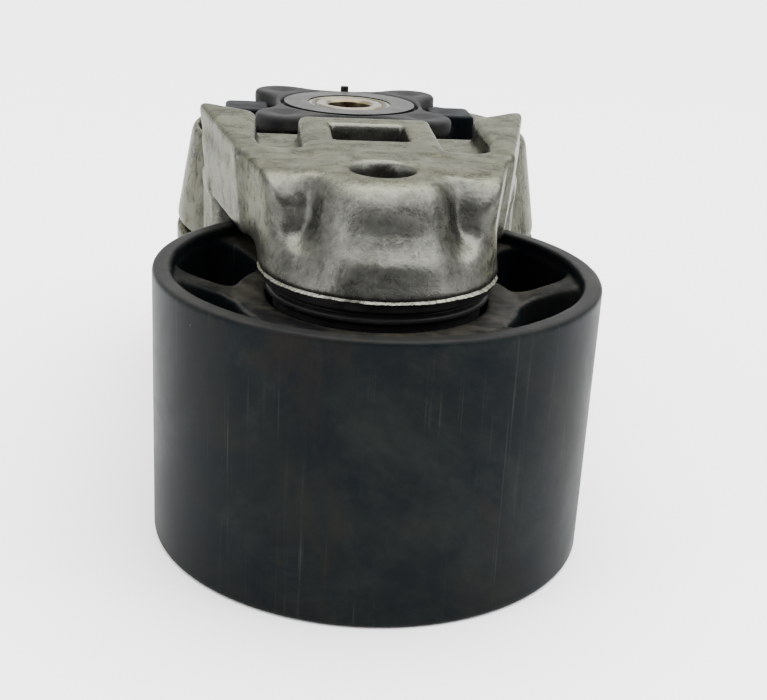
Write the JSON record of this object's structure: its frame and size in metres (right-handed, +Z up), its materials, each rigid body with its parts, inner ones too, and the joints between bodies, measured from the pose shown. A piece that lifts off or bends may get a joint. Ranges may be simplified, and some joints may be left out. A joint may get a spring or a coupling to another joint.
{
  "type": "belt tensioner idler",
  "caption": "Spring-loaded belt tensioner: a round cup with a mounting bore, a swinging cast arm with a square tool slot, and a smooth spoked idler pulley on ball bearings.",
  "frame": {"origin": "axis of the mounting bore at the mounting face", "axes": "+Z along the mounting bore away from the engine; -Y along the arm to the pulley; +X to the right, seen from the pulley end with +Z up"},
  "size_m": [0.0866, 0.1693, 0.0692],
  "materials": {
    "cast_aluminium": "satin die-cast, mottled",
    "base_casting": "satin die-cast, mottled",
    "zinc_yellow": "yellow zinc plate",
    "bright_steel": "turned, bright",
    "plain_steel": "rubbed, oiled",
    "bearing_steel": "ground",
    "spring_steel": "oil blackened",
    "cage_brass": "machined",
    "pulley_plastic": "satin, worn and dusty",
    "black_plastic": "satin",
    "spider_composite": "matt, worn",
    "bushing_polymer": "smooth",
    "shield_rubber": "satin, dusty",
    "seal_rubber": "matt"
  },
  "bodies": {
    "base": {"base_cup": "base_casting", "pivot_tube": "zinc_yellow", "tube_collar": "bright_steel", "retainer_disc": "plain_steel", "thrust_washer": "bushing_polymer", "friction_ring": "black_plastic"},
    "arm": {"tension_arm": "cast_aluminium", "spider_plate": "spider_composite", "spring_cover": "black_plastic", "upper_bushing": "bushing_polymer", "lower_bushing": "bushing_polymer", "torsion_spring": "spring_steel", "spring_sleeve": "black_plastic", "index_pin": "plain_steel", "pulley_bolt": "bright_steel", "bolt_washer": "bright_steel", "bearing_sleeve": "plain_steel", "inner_spacer": "plain_steel", "dust_shield": "shield_rubber", "upper_inner_ring": "bearing_steel", "lower_inner_ring": "bearing_steel"},
    "idler": {"pulley": "pulley_plastic", "upper_outer_ring": "bearing_steel", "lower_outer_ring": "bearing_steel", "upper_seals": "seal_rubber", "lower_seals": "seal_rubber", "upper_snap_ring": "spring_steel", "lower_snap_ring": "spring_steel", "dust_cap": "black_plastic"},
    "ball_sets": {"upper_balls": "bearing_steel", "lower_balls": "bearing_steel", "upper_cage": "cage_brass", "lower_cage": "cage_brass"}
  },
  "joints": [
    {"name": "arm_pivot", "type": "hinge", "parent": "base", "child": "arm", "pos_m": [0, 0, 0], "axis": [0, 0, 1], "range_deg": [0, 40], "stiffness_Nm_per_rad": 28, "springref_deg": -34.38},
    {"name": "pulley_spin", "type": "hinge", "parent": "arm", "child": "idler", "pos_m": [0, -0.086, 0], "axis": [0, 0, 1], "continuous": true},
    {"name": "cage_spin", "type": "hinge", "parent": "arm", "child": "ball_sets", "pos_m": [0, -0.086, 0], "axis": [0, 0, 1], "continuous": true}
  ],
  "couplings": [
    {"joint": "cage_spin", "follows": "pulley_spin", "ratio": 0.6184}
  ]
}
